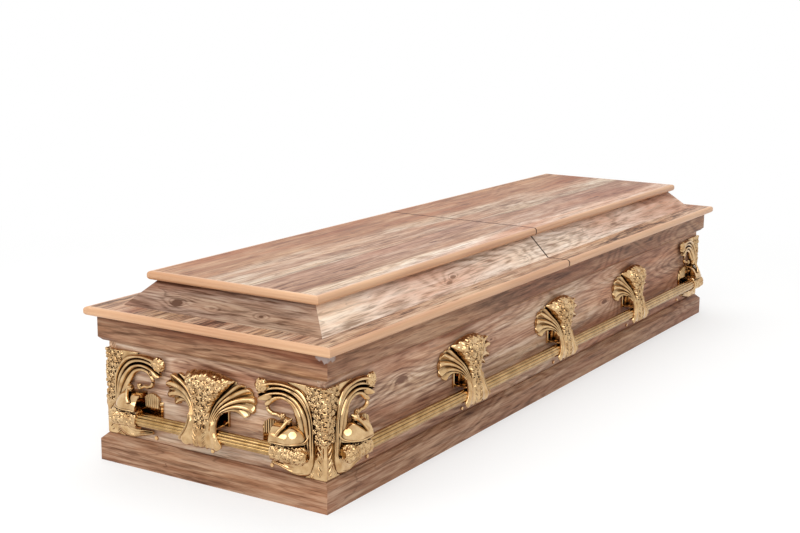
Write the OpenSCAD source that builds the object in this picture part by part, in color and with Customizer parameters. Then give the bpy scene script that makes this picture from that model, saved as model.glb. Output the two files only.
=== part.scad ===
// Wooden coffin with a raised lid in two leaves and cast corner and bar handles.
// X runs along the length, Y across it, Z up. The origin is under the middle of the base.

/* [Lid and box] */
// Length over the lid's flange
lid_length = 2000; // [1700:10:2200]
// Width over the lid's flange
lid_width = 600; // [520:10:760]
// Height from the base to the top of the lid
coffin_height = 390; // [360:5:460]
// How far the body stands back from the flange's edge
body_inset = 35; // [32:1:45]
// Thickness of the body's boards
board = 18; // [15:1:22]
// Height of the body up to the lid
body_height = 304; // [290:1:320]

/* [Plinth and rim] */
// Thickness of the plinth and rim boards
trim_depth = 16; // [12:1:20]
// Height of the plinth
plinth_height = 57; // [40:1:60]
// Chamfer along the plinth's top edge
plinth_chamfer = 12; // [4:1:12]
// Depth of the rim moulding under the lid
rim_depth = 52; // [40:1:60]
// Chamfer along the rim's lower edge
rim_chamfer = 7; // [3:1:10]

/* [Lid] */
// Thickness of the flange and top boards
lid_board = 18; // [14:1:20]
// Width of the solid lipping round the lid's boards
lipping = 10; // [8:1:14]
// Radius of the lipping's rounded edges
nose_radius = 7; // [3:1:7]
// How far the foot of the slope stands in from the flange's edge
slope_inset = 57; // [50:1:70]
// Horizontal thickness of the sloping boards
slope_board = 20; // [14:1:24]
// How far the top board stands in from the flange's edge
top_inset = 90; // [85:1:95]
// Width of the joint between the two leaves
leaf_gap = 3; // [1:0.5:4]

/* [Bars] */
// Diameter of the reeded bars
bar_d = 27; // [22:1:28]
// Number of reeds round a bar
reeds = 10; // [8:1:12]
// Height of the bars' centre
bar_z = 108; // [104:1:112]
// Distance from the body to the bars' centre
bar_out = 26; // [24:1:30]

/* [Castings] */
// Width of a fan bracket over its leaves
fan_width = 214; // [190:2:230]
// Top of the fan brackets
fan_top = 231; // [226:1:236]
// Distance between the brackets on a long side
fan_pitch = 452; // [400:2:500]
// Petals on each side of a fan
petals = 5; // [4:1:6]
// Top of the corner castings
corner_top = 237; // [232:1:244]
// Middle of the corner scroll, out from the corner
scroll_u = 100; // [96:1:104]
// Middle of the corner scroll, up from the base
scroll_z = 150; // [148:1:152]
// Outer radius of the corner scroll
scroll_r = 87; // [80:1:88]
// Distance from the corner to the mouth of a bar's socket
socket_mouth = 100; // [96:1:106]

/* [Hidden] */
$fn = 64;
EPS = 0.01;
WOOD = [0.80, 0.64, 0.52];
EDGE = [0.86, 0.66, 0.48];
GOLD = [0.86, 0.66, 0.30];
BRASS = [0.62, 0.47, 0.22];

half_l = lid_length / 2;
half_w = lid_width / 2;
body_l = half_l - body_inset;
body_w = half_w - body_inset;
flange_top = body_height + lid_board;
top_under = coffin_height - lid_board;
slope_rise = top_under - flange_top;

bar_fit = 0.5;          // clearance between a bar and its bracket or socket
socket_depth = 70;      // how far a bar's end reaches into its socket
socket_r = 19.5;        // radius of the socket's barrel
socket_back = 20;       // closed end of the socket, out from the corner
hood_c = [66, 127];     // middle of the round end of the hood over the socket
hood_r = 34;            // radius of that hood
sheaf_out = 36;         // how far the sheaf's middle stands out from the body
sheaf_edge = 27;        // how far its edges stand out
sheaf_half = 60;        // half of its width
wrap = 7;               // thickness of the corner band
petal_root = [14, 132]; // where the petals leave the neck
petal_tip_r = 8.5;      // radius of a petal's round tip
petal_ring = [78, 181]; // middle of the ring that a side's petals end on
strap_front = bar_out + bar_d / 2 + 6.5;
foot_z = bar_z - bar_d / 2 - 15;

// A cubic curve through p0 and p3, pulled towards p1 and p2
function curve(p0, p1, p2, p3, n = 10) = [for (i = [0:n]) let (t = i / n, s = 1 - t)
  s * s * s * p0 + 3 * s * s * t * p1 + 3 * s * t * t * p2 + t * t * t * p3];

// Points of an arc about c from angle a to angle b
function arc(c, r, a, b, n = 16) = [for (i = [0:n]) let (t = a + (b - a) * i / n)
  c + r * [cos(t), sin(t)]];

// Stands an outline drawn in X and Z up, and extrudes it outwards (towards -Y)
module face_out(depth) { rotate([90, 0, 0]) linear_extrude(depth) children(); }

// Runs a section drawn as [outwards, height] along X
module run_x(length) {
  rotate([90, 0, -90]) translate([0, 0, -length / 2]) linear_extrude(length) children();
}

// Turns what faces -Y towards the named side of the box
module to_side(side) {
  turn = side == "front" ? 0 : side == "right" ? 90 : side == "back" ? 180 : 270;
  rotate([0, 0, turn]) children();
}

// Half the run of a side and its distance from the middle, at an inset from the flange
function run_half(side, inset) = (side == "front" || side == "back" ? half_l : half_w) - inset;
function stand_off(side, inset) = (side == "front" || side == "back" ? half_w : half_l) - inset;

// A board round the box, drawn as [inset from the flange, height], mitred at both ends
module mitred(side, inset, depth) {
  far = stand_off(side, inset);
  near = far - depth;
  ends = run_half(side, inset);
  to_side(side) intersection() {
    translate([0, -stand_off(side, 0), 0]) mirror([0, 1, 0]) run_x(2 * ends) children();
    translate([0, 0, -EPS]) linear_extrude(coffin_height + 1)
      polygon([[-ends, -far], [ends, -far], [ends - depth, -near], [depth - ends, -near]]);
  }
}

// Keeps the part of a lid piece that belongs to one leaf
module leaf(end) {
  span = half_l + 1;
  intersection() {
    children();
    translate([end == "left" ? -span : leaf_gap / 2, -half_w - 1, body_height - 1])
      cube([span - leaf_gap / 2, 2 * half_w + 2, coffin_height - body_height + 2]);
  }
}

// ---------------------------------------------------------------- body

module floor_board() {
  color(WOOD) translate([board - body_l, board - body_w, 0])
    cube([2 * (body_l - board), 2 * (body_w - board), board]);
}

module side_panel(side) {
  color(WOOD) to_side(side) translate([-body_l, -body_w, 0])
    cube([2 * body_l, board, body_height]);
}

module end_panel(side) {
  color(WOOD) to_side(side) translate([board - body_w, -body_l, 0])
    cube([2 * (body_w - board), board, body_height]);
}

module plinth(side) {
  face = body_inset - trim_depth;
  color(WOOD) mitred(side, face, trim_depth) polygon([
    [face, 0], [body_inset, 0], [body_inset, plinth_height],
    [face + plinth_chamfer, plinth_height], [face, plinth_height - plinth_chamfer]]);
}

module rim(side) {
  face = body_inset - trim_depth;
  foot = body_height - rim_depth;
  color(WOOD) mitred(side, face, trim_depth) polygon([
    [face, body_height], [body_inset, body_height], [body_inset, foot],
    [face + rim_chamfer, foot], [face, foot + rim_chamfer]]);
}

// ---------------------------------------------------------------- lid

module flange_panel(end) {
  opening = top_inset;
  color(WOOD) leaf(end) translate([0, 0, body_height]) linear_extrude(lid_board) difference() {
    square([lid_length - 2 * lipping, lid_width - 2 * lipping], center = true);
    square([lid_length - 2 * opening, lid_width - 2 * opening], center = true);
  }
}

// The lipping's section: flat against the board, rounded along its outer edges
module lipping_section(inset, low) {
  high = low + lid_board;
  polygon(concat(
    [[inset + lipping, low]],
    arc([inset + nose_radius, low + nose_radius], nose_radius, 270, 180, 8),
    arc([inset + nose_radius, high - nose_radius], nose_radius, 180, 90, 8),
    [[inset + lipping, high]]));
}

module flange_lipping(end, side) {
  color(EDGE) leaf(end) mitred(side, 0, lipping) lipping_section(0, body_height);
}

module slope(end, side) {
  reach = slope_rise + slope_board;
  color(WOOD) leaf(end) mitred(side, slope_inset, reach) polygon([
    [slope_inset, flange_top], [slope_inset + slope_board, flange_top],
    [slope_inset + reach, top_under], [slope_inset + slope_rise, top_under]]);
}

module top_panel(end) {
  edge = top_inset + lipping;
  color(WOOD) leaf(end) translate([edge - half_l, edge - half_w, top_under])
    cube([lid_length - 2 * edge, lid_width - 2 * edge, lid_board]);
}

module top_lipping(end, side) {
  color(EDGE) leaf(end) mitred(side, top_inset, lipping) lipping_section(top_inset, top_under);
}

// ---------------------------------------------------------------- bars

module bar(side) {
  off = stand_off(side, body_inset) + bar_out;
  length = 2 * (run_half(side, body_inset) - socket_mouth + socket_depth - 1);
  reed_r = 0.95 * PI * bar_d / reeds / 2;
  color(BRASS) to_side(side) translate([0, -off, bar_z]) rotate([0, 90, 0])
    linear_extrude(length, center = true) {
      circle(d = bar_d - reed_r);
      for (i = [0:reeds - 1]) rotate(360 * i / reeds)
        translate([bar_d / 2 - reed_r, 0]) circle(r = reed_r);
    }
}

// ---------------------------------------------------------------- fan brackets

// Where petal i of a fan ends, from the topmost to the lowest
function petal_tip(i) = let (a = 100 - 168 * i / (petals - 1),
                             reach = fan_width / 2 - petal_ring[0] - petal_tip_r)
  petal_ring + reach * [cos(a), sin(a)];

// One petal: it leaves the neck upright and leans out to a round tip
module petal(i) {
  tip = petal_tip(i);
  knee = [petal_root[0] + 14 + 3 * i, petal_root[1] + 46 - 3 * i];
  spine = curve(petal_root, knee, (knee + tip) / 2, tip, 8);
  last = len(spine) - 1;
  side = [for (k = [0:last]) let (
    d = spine[min(k + 1, last)] - spine[max(k - 1, 0)], n = [-d[1], d[0]] / norm(d))
    n * (4 + (petal_tip_r - 4) * k / last)];
  union() {
    polygon(concat([for (k = [0:last]) spine[k] + side[k]],
                   [for (k = [last:-1:0]) spine[k] - side[k]]));
    translate(tip) circle(r = petal_tip_r);
  }
}

// The flowered sheaf in the middle of the fan
module sheaf() {
  half = sheaf_half;
  rise = 17;
  shoulder = fan_top - rise;
  r = (half * half + rise * rise) / (2 * rise);
  a = asin(half / r);
  low = curve([18, 120], [22, 150], [40, 180], [half, shoulder], 8);
  polygon(concat(low, arc([0, fan_top - r], r, 90 - a, 90 + a, 12),
                 [for (i = [len(low) - 1:-1:0]) [-low[i][0], low[i][1]]]));
}

// Front view of the strap that comes down over the bar
module strap_front_view() {
  right = concat(
    curve([46, 190], [32, 160], [32, 128], [50, 100], 8),
    curve([50, 100], [60, 92], [56, foot_z + 4], [40, foot_z + 2], 5),
    [[0, foot_z]]);
  polygon(concat(right, [for (i = [len(right) - 2:-1:0]) [-right[i][0], right[i][1]]]));
}

// Side view of the strap: out from the fan, down over the bar and under it, with an arm
// back to the panel above the bar
module strap_side_view() {
  hook = bar_out - 4;
  arm = bar_z + bar_d / 2 + 3;
  difference() {
    polygon(concat(
      curve([13, 205], [18, 172], [strap_front, 152], [strap_front, bar_z + 4], 10),
      curve([strap_front, bar_z + 4], [strap_front, bar_z - 16],
            [strap_front - 6, foot_z], [hook + 2, foot_z], 8),
      [[hook, foot_z + 3], [hook, arm], [0, arm], [0, 205]]));
    translate([bar_out, bar_z]) circle(r = bar_d / 2 + bar_fit);
    translate([16, bar_z + 40]) circle(r = 12);
  }
}

// The sheaf as a solid, round across its front, and clear of the bar
module sheaf_body() {
  sag = sheaf_out - sheaf_edge;
  r = (sheaf_half * sheaf_half + sag * sag) / (2 * sag);
  difference() {
    intersection() {
      face_out(sheaf_out) sheaf();
      translate([0, r - sheaf_out, 0]) cylinder(r = r, h = coffin_height);
    }
    translate([-40, -sheaf_out - 1, 0]) cube([80, sheaf_out + 2, bar_z + bar_d / 2 + 3]);
  }
}

module bracket() {
  color(GOLD) union() {
    for (i = [0:petals - 1]) {
      depth = i % 2 == 0 ? 11 : 8;
      face_out(depth) petal(i);
      mirror([1, 0, 0]) face_out(depth) petal(i);
    }
    sheaf_body();
    intersection() {
      run_x(120) strap_side_view();
      translate([0, 1, 0]) face_out(strap_front + 2) strap_front_view();
    }
  }
}

module bracket_at(side, along) {
  to_side(side) translate([along, -stand_off(side, body_inset), 0]) bracket();
}

// ---------------------------------------------------------------- corner castings

// Ribbed section of the scroll: a thin plate under round flutes from radius a to radius b
module flutes(a, b, count) {
  step = (b - a) / count;
  union() {
    translate([a, 0]) square([b - a, 5]);
    for (i = [0:count - 1]) intersection() {
      translate([a + (i + 0.5) * step, 4]) circle(r = 0.56 * step);
      translate([a, 0]) square([b - a, 20]);
    }
  }
}

// The C-shaped scroll, open away from the corner
module scroll() {
  translate([scroll_u, 0, scroll_z]) rotate([90, 0, 0]) {
    rotate([0, 0, 64]) rotate_extrude(angle = 200) flutes(scroll_r - 22, scroll_r, 2);
    rotate([0, 0, 50]) rotate_extrude(angle = 150) flutes(scroll_r - 40, scroll_r - 21.5, 2);
  }
  translate([scroll_u + 37, 0, scroll_z + 74]) rotate([90, 0, 0]) cylinder(r = 12, h = 13);
  translate([scroll_u + 36, 0, scroll_z + 48]) rotate([90, 0, 0]) cylinder(r = 8, h = 10);
}

// The barrel that holds the bar's end, square to the panel behind and round in front
module socket_barrel() {
  translate([(socket_back + socket_mouth) / 2, 0, 0]) run_x(socket_mouth - socket_back)
    polygon(concat([[0, bar_z - socket_r]],
                   arc([bar_out, bar_z], socket_r, -90, 90, 20),
                   [[0, bar_z + socket_r]]));
}

// The plate on the panel behind the bar
module back_plate() {
  face_out(3) polygon([
    [socket_back, bar_z - socket_r], [socket_mouth + 42, bar_z - 4],
    [socket_mouth + 42, bar_z + 36], [socket_back, bar_z + socket_r]]);
}

// The hood over the socket: round towards the corner, straight towards its mouth
module hood() {
  intersection() {
    translate([hood_c[0], -8, hood_c[1]]) union() {
      sphere(r = hood_r);
      rotate([0, 90, 0]) cylinder(r = hood_r, h = 60);
    }
    translate([socket_back, -60, bar_z]) cube([socket_mouth - socket_back, 60, 90]);
  }
}

// Half of the band that straddles the corner: broad at the top, waisted, with a flared foot
module band_half() {
  face_out(wrap) polygon(concat(
    [[0, plinth_height], [44, plinth_height + 2]],
    curve([44, plinth_height + 2], [26, plinth_height + 14], [22, 90], [24, 120], 6),
    curve([24, 120], [24, 170], [32, 216], [76, corner_top], 8),
    [[0, corner_top]]));
}

module wing() {
  difference() {
    union() {
      band_half();
      scroll();
      back_plate();
      socket_barrel();
      hood();
    }
    translate([socket_mouth - socket_depth, -bar_out, bar_z]) rotate([0, 90, 0])
      cylinder(d = bar_d + 2 * bar_fit, h = socket_depth + 1);
  }
}

// A whole corner casting, with the body in the quarter towards +X and +Y
module corner() {
  color(GOLD) union() {
    wing();
    mirror([1, -1, 0]) wing();
    intersection() {
      translate([0, 0, plinth_height]) cylinder(r = wrap, h = corner_top - plinth_height);
      translate([-wrap, -wrap, 0]) cube([wrap, wrap, coffin_height]);
    }
  }
}

module corner_at(side, end) {
  mirror([end == "right" ? 1 : 0, 0, 0]) mirror([0, side == "back" ? 1 : 0, 0])
    translate([-body_l, -body_w, 0]) corner();
}

floor_board();
side_panel("front");  // side_panel_front
side_panel("back");  // side_panel_back
end_panel("left");  // end_panel_left
end_panel("right");  // end_panel_right
plinth("front");  // plinth_front
plinth("back");  // plinth_back
plinth("left");  // plinth_left
plinth("right");  // plinth_right
rim("front");  // rim_front
rim("back");  // rim_back
rim("left");  // rim_left
rim("right");  // rim_right
flange_panel("left");  // flange_panel_left
flange_panel("right");  // flange_panel_right
flange_lipping("left", "front");  // flange_lipping_left_front
flange_lipping("left", "back");  // flange_lipping_left_back
flange_lipping("left", "left");  // flange_lipping_left_end
flange_lipping("right", "front");  // flange_lipping_right_front
flange_lipping("right", "back");  // flange_lipping_right_back
flange_lipping("right", "right");  // flange_lipping_right_end
slope("left", "front");  // slope_left_front
slope("left", "back");  // slope_left_back
slope("left", "left");  // slope_left_end
slope("right", "front");  // slope_right_front
slope("right", "back");  // slope_right_back
slope("right", "right");  // slope_right_end
top_panel("left");  // top_panel_left
top_panel("right");  // top_panel_right
top_lipping("left", "front");  // top_lipping_left_front
top_lipping("left", "back");  // top_lipping_left_back
top_lipping("left", "left");  // top_lipping_left_end
top_lipping("right", "front");  // top_lipping_right_front
top_lipping("right", "back");  // top_lipping_right_back
top_lipping("right", "right");  // top_lipping_right_end
bar("front");  // bar_front
bar("back");  // bar_back
bar("left");  // bar_left
bar("right");  // bar_right
bracket_at("front", -fan_pitch);  // bracket_front_1
bracket_at("front", 0);  // bracket_front_2
bracket_at("front", fan_pitch);  // bracket_front_3
bracket_at("back", fan_pitch);  // bracket_back_1
bracket_at("back", 0);  // bracket_back_2
bracket_at("back", -fan_pitch);  // bracket_back_3
bracket_at("left", 0);  // bracket_left
bracket_at("right", 0);  // bracket_right
corner_at("front", "left");  // corner_front_left
corner_at("front", "right");  // corner_front_right
corner_at("back", "left");  // corner_back_left
corner_at("back", "right");  // corner_back_right
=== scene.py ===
"""Looks of a wooden coffin: foil-faced boards, solid lippings, reeded bars and gilt castings.

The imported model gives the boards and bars. This script dresses them, models the relief of the fan
brackets and corner castings, adds the screws and the chip, and sets the floor, light and camera.
"""
import logging
import math
from collections.abc import Callable, Iterable
from dataclasses import dataclass, field
from enum import Enum

import bpy
import numpy as np
from mathutils import Matrix, Vector


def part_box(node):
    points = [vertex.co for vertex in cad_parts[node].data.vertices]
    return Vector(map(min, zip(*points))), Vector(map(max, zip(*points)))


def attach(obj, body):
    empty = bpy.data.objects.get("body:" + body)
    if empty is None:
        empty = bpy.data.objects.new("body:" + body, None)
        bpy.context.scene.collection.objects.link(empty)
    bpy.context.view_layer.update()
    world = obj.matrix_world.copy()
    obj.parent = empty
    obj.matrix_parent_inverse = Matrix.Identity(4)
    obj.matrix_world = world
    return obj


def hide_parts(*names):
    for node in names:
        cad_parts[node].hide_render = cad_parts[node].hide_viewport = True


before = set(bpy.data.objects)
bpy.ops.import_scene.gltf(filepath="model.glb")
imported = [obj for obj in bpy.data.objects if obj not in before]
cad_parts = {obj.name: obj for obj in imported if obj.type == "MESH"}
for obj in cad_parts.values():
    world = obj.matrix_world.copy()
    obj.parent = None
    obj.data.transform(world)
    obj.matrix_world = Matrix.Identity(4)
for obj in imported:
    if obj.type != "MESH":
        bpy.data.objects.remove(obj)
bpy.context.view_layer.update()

logging.basicConfig(level=logging.INFO, format="%(message)s")
log = logging.getLogger("coffin")

MM = 0.001
JOINT_BROWN = "#3E2618"     # the shadow in a joint between boards
BARE_BOARD = "#AFA19B"      # chipboard where the foil is chipped away
Array = np.ndarray
Socket = bpy.types.NodeSocket


# ------------------------------------------------------------------ small helpers


def linear(hex_colour: str) -> tuple[float, float, float, float]:
    """Turns an sRGB hex colour into the linear colour that shaders use.

    Args:
        hex_colour: Six hex digits, with or without a leading hash.

    Returns:
        Red, green, blue and an alpha of 1.
    """
    digits = hex_colour.lstrip("#")
    parts = [int(digits[i:i + 2], 16) / 255 for i in (0, 2, 4)]
    red, green, blue = (c / 12.92 if c <= 0.04045 else ((c + 0.055) / 1.055) ** 2.4 for c in parts)
    return red, green, blue, 1.0


def add(tree: bpy.types.NodeTree, kind: str, inputs: dict | None = None, **settings) -> bpy.types.Node:
    """Adds one node with its settings, and sets or links its inputs.

    Args:
        tree: The node tree.
        kind: The node's type name.
        inputs: Input name or number, to a value or to the socket that feeds it.
        settings: The node's own properties.

    Returns:
        The new node.
    """
    made = tree.nodes.new(kind)
    for key, value in settings.items():
        setattr(made, key, value)
    for key, value in (inputs or {}).items():
        if isinstance(value, Socket):
            tree.links.new(value, made.inputs[key])
        else:
            made.inputs[key].default_value = value
    return made


def fill_ramp(ramp: bpy.types.Node, stops: Iterable[tuple[float, tuple]]) -> None:
    """Gives a colour ramp its stops, in order."""
    elements = ramp.color_ramp.elements
    while len(elements) > 1:
        elements.remove(elements[-1])
    for number, (place, colour) in enumerate(stops):
        stop = elements[0] if number == 0 else elements.new(place)
        stop.position = place
        stop.color = colour


def new_material(name: str) -> tuple[bpy.types.Material, bpy.types.NodeTree, bpy.types.Node]:
    """Makes an empty node material.

    Returns:
        The material, its tree, and its Principled shader, already linked to the output.
    """
    material = bpy.data.materials.new(name)
    material.use_nodes = True
    tree = material.node_tree
    tree.nodes.clear()
    shader = add(tree, "ShaderNodeBsdfPrincipled")
    add(tree, "ShaderNodeOutputMaterial", {"Surface": shader.outputs[0]})
    return material, tree, shader


def dress(piece: bpy.types.Object, material: bpy.types.Material) -> None:
    """Gives every face of a piece one material."""
    piece.data.materials.clear()
    piece.data.materials.append(material)


def let_go() -> None:
    """Leaves edit mode and deselects everything."""
    if bpy.context.object and bpy.context.object.mode != "OBJECT":
        bpy.ops.object.mode_set(mode="OBJECT")
    bpy.ops.object.select_all(action="DESELECT")


def pick(piece: bpy.types.Object) -> None:
    """Makes one piece the only selected and active object."""
    let_go()
    piece.select_set(True)
    bpy.context.view_layer.objects.active = piece


def apply_modifier(piece: bpy.types.Object, kind: str, **settings) -> None:
    """Adds a modifier with its settings and applies it."""
    pick(piece)
    modifier = piece.modifiers.new(kind.lower(), kind)
    for key, value in settings.items():
        setattr(modifier, key, value)
    bpy.ops.object.modifier_apply(modifier=modifier.name)


def copied(piece: bpy.types.Object, name: str, place: Matrix) -> bpy.types.Object:
    """Copies a piece with its own mesh, and puts the copy's place in that mesh.

    Args:
        piece: The model.
        name: The copy's name.
        place: Where the copy goes. A mirrored place has its faces turned outwards again.

    Returns:
        The copy.
    """
    mesh = piece.data.copy()
    mesh.transform(place)
    if place.determinant() < 0:
        mesh.flip_normals()
    twin = bpy.data.objects.new(name, mesh)
    mesh.name = name
    bpy.context.scene.collection.objects.link(twin)
    return twin


def joined(name: str, parts: list[bpy.types.Object]) -> bpy.types.Object:
    """Joins closed parts into one object."""
    let_go()
    for part in parts:
        part.select_set(True)
    bpy.context.view_layer.objects.active = parts[0]
    if len(parts) > 1:
        bpy.ops.object.join()
    whole = parts[0]
    whole.name = name
    whole.data.name = name
    return whole


def smooth_by_angle(piece: bpy.types.Object, degrees: float) -> None:
    """Shades a piece smooth, apart from edges sharper than an angle."""
    pick(piece)
    bpy.ops.object.shade_smooth_by_angle(angle=math.radians(degrees))


# ------------------------------------------------------------------ shaping by formula


def smoothstep(low: float, high: float, value: Array) -> Array:
    """Rises smoothly from 0 at low to 1 at high."""
    t = np.clip((value - low) / (high - low), 0.0, 1.0)
    return t * t * (3.0 - 2.0 * t)


def bump(value: Array, centre: float, half: float) -> Array:
    """A smooth hill of height 1 at centre that is gone at half its width."""
    t = np.clip(np.abs(value - centre) / half, 0.0, 1.0)
    return (1.0 - t * t) ** 2


def run_through(points: list[tuple[float, ...]], t: Array) -> Array:
    """Follows a smooth curve through points spaced evenly in t from 0 to 1.

    Args:
        points: The points that the curve passes.
        t: Where along the curve, 0 to 1.

    Returns:
        The places on the curve, with the points' own number of coordinates last.
    """
    p = np.array([points[0], *points, points[-1]], float)
    p[0] = 2 * p[1] - p[2]
    p[-1] = 2 * p[-2] - p[-3]
    spans = len(points) - 1
    x = np.clip(t, 0.0, 1.0) * spans
    k = np.minimum(x.astype(int), spans - 1)
    f = (x - k)[..., None]
    a, b, c, d = (p[k + i] for i in range(4))
    return 0.5 * (2 * b + (c - a) * f + (2 * a - 5 * b + 4 * c - d) * f ** 2
                  + (3 * b - a - 3 * c + d) * f ** 3)


def scattered(count: int, apart: float, draw: Callable[[np.random.Generator], Array],
              seed: int) -> Array:
    """Throws points at random and keeps those that stand clear of the ones before.

    Args:
        count: How many throws.
        apart: The least distance between two points.
        draw: Gives one random point in the plane.
        seed: Fixes the throws.

    Returns:
        The kept points.
    """
    generator = np.random.default_rng(seed)
    kept: list[Array] = []
    for _ in range(count):
        point = draw(generator)
        if all(np.hypot(*(point - other)) >= apart for other in kept):
            kept.append(point)
    return np.array(kept)


def blossoms(x: Array, z: Array, centres: Array, radius: float, height: float) -> Array:
    """Relief of small five-petalled flowers, heaped so that the nearest shows.

    Args:
        x: Distance along the face.
        z: Height.
        centres: The flowers' centres.
        radius: Radius of a flower.
        height: How far a petal stands out.

    Returns:
        The relief.
    """
    relief = np.zeros_like(x)
    for number, (cx, cz) in enumerate(centres):
        near = (np.abs(x - cx) < radius) & (np.abs(z - cz) < radius)
        dx, dz = x[near] - cx, z[near] - cz
        r = np.hypot(dx, dz) / radius
        angle = np.arctan2(dz, dx)
        wave = np.cos(5 * angle + 2.4 * number)
        dome = np.sqrt(np.clip(1 - (r / (0.84 + 0.16 * wave)) ** 2, 0, 1))
        parting = 0.24 * (1 - wave) / 2 * bump(r, 0.6, 0.45)
        bloom = height * (dome - parting - 0.35 * bump(r, 0.0, 0.34))
        relief[near] = np.maximum(relief[near], bloom * (0.8 + 0.35 * math.sin(7.1 * number) ** 2))
    return relief


def strokes(x: Array, z: Array, column: float, low: float, high: float, pitch: float,
            height: float) -> Array:
    """Relief of a column of slanting leaf veins on both sides of the middle.

    Args:
        x: Distance from the middle line.
        z: Height.
        column: Distance of each column from the middle.
        low: Where the columns start.
        high: Where they stop.
        pitch: Distance between veins.
        height: How far a vein stands out.

    Returns:
        The relief.
    """
    side = np.abs(x) - column
    slant = (z - low - 1.15 * side) / pitch
    wave = np.abs(slant - np.round(slant)) * pitch
    blade = np.clip(1 - (wave / 2.4) ** 2, 0, 1) * np.clip(1 - (side / 5.2) ** 2, 0, 1)
    inside = smoothstep(low - 2, low + 2, z) * (1 - smoothstep(high - 2, high + 2, z))
    return height * np.sqrt(blade) * inside


@dataclass
class Sheet:
    """A closed shell: a base surface with relief on its front and a plain back."""

    name: str
    across: int
    along: int
    base: Callable[[Array, Array], tuple[Array, Array, Array]]
    relief: Callable[[Array, Array, Array, Array], Array]
    thickness: float = 2.4
    edge: float = 2.0

    def build(self) -> bpy.types.Object:
        """Shapes a grid into the shell, in millimetres turned to metres.

        Returns:
            The piece, with X along the face, Z up and its front towards -Y.
        """
        let_go()
        bpy.ops.mesh.primitive_grid_add(x_subdivisions=self.across, y_subdivisions=self.along, size=2)
        piece = bpy.context.object
        piece.name = self.name
        apply_modifier(piece, "SOLIDIFY", thickness=0.5, offset=-1.0)
        mesh = piece.data
        flat = np.empty(len(mesh.vertices) * 3, np.float32)
        mesh.vertices.foreach_get("co", flat)
        flat = flat.reshape(-1, 3)
        column = np.rint((flat[:, 0] + 1) / 2 * self.across).astype(int)
        row = np.rint((flat[:, 1] + 1) / 2 * self.along).astype(int)
        front, back = self.surfaces()
        places = np.where((flat[:, 2] > -0.25)[:, None], front[row, column], back[row, column])
        mesh.vertices.foreach_set("co", (places * MM).astype(np.float32).ravel())
        mesh.update()
        return piece

    def surfaces(self) -> tuple[Array, Array]:
        """Works out the front and the back.

        Returns:
            Two grids of places in millimetres, by row and column.
        """
        u, v = np.meshgrid(np.linspace(-1, 1, self.across + 1), np.linspace(0, 1, self.along + 1))
        x, w, z = self.base(u, v)
        middle = np.stack([x, -w, z], axis=-1)
        by_row, by_column = np.gradient(middle, axis=(0, 1))
        normal = np.cross(by_column, by_row)
        normal /= np.maximum(np.linalg.norm(normal, axis=-1, keepdims=True), 1e-9)
        width = np.linalg.norm(by_column, axis=-1) * self.across / 2
        length = np.linalg.norm(by_row, axis=-1) * self.along
        rim = np.minimum((1 - np.abs(u)) * width, np.minimum(v, 1 - v) * length)
        rim = np.clip(rim / self.edge, 0, 1)
        roundness = np.sqrt(np.clip(1 - (1 - rim) ** 2, 0, 1))
        relief = self.relief(u, v, x, z) * roundness - self.thickness / 2 * (1 - roundness)
        depth = self.thickness * (1 + roundness) / 2
        return middle + normal * relief[..., None], middle - normal * depth[..., None]


def ribbon(name: str, spine: list[tuple[float, float, float]], halves: list[float],
           crowns: list[float], thickness: float = 3.0, cells: tuple[int, int] = (14, 60),
           fullness: float = 0.5, groove: float = 0.0) -> bpy.types.Object:
    """A tapering rib that follows a curve, round across its front.

    Args:
        name: The piece's name.
        spine: Points along it: distance along the face, height, and distance off the face.
        halves: Half its width at even steps along it.
        crowns: How far its middle stands above its edges, at even steps.
        thickness: Thickness behind the front.
        cells: Faces across and along.
        fullness: Power of the crown's section; less is fuller.
        groove: Depth of a groove along the middle.

    Returns:
        The closed rib.
    """
    def line(values: list[float], t: Array) -> Array:
        """One smooth value along the ribbon."""
        return run_through([(value,) for value in values], t)[..., 0]

    def base(u: Array, v: Array) -> tuple[Array, Array, Array]:
        """Place on the base surface: along the face, off it, and height."""
        middle = run_through(spine, v)
        ahead = run_through(spine, np.clip(v + 0.004, 0, 1)) - run_through(spine, np.clip(v - 0.004, 0, 1))
        size = np.maximum(np.hypot(ahead[..., 0], ahead[..., 1]), 1e-6)
        half = np.maximum(line(halves, v), 0.25)
        return (middle[..., 0] + u * half * ahead[..., 1] / size, middle[..., 2],
                middle[..., 1] - u * half * ahead[..., 0] / size)

    def relief(u: Array, v: Array, x: Array, z: Array) -> Array:
        """Height of the relief over the base surface."""
        crown = np.clip(1 - u * u, 0, 1) ** fullness
        return line(crowns, v) * crown - groove * np.clip(1 - (u / 0.3) ** 2, 0, 1)

    return Sheet(name, *cells, base, relief, thickness, 1.2).build()


# ------------------------------------------------------------------ finishes


class Grain(Enum):
    """The axis that a board's grain follows, as the turn that brings it onto X."""

    ALONG_X = (0.0, 0.0, 0.0)
    ALONG_Y = (0.0, 0.0, -90.0)
    ALONG_Z = (0.0, 90.0, 0.0)


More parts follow.
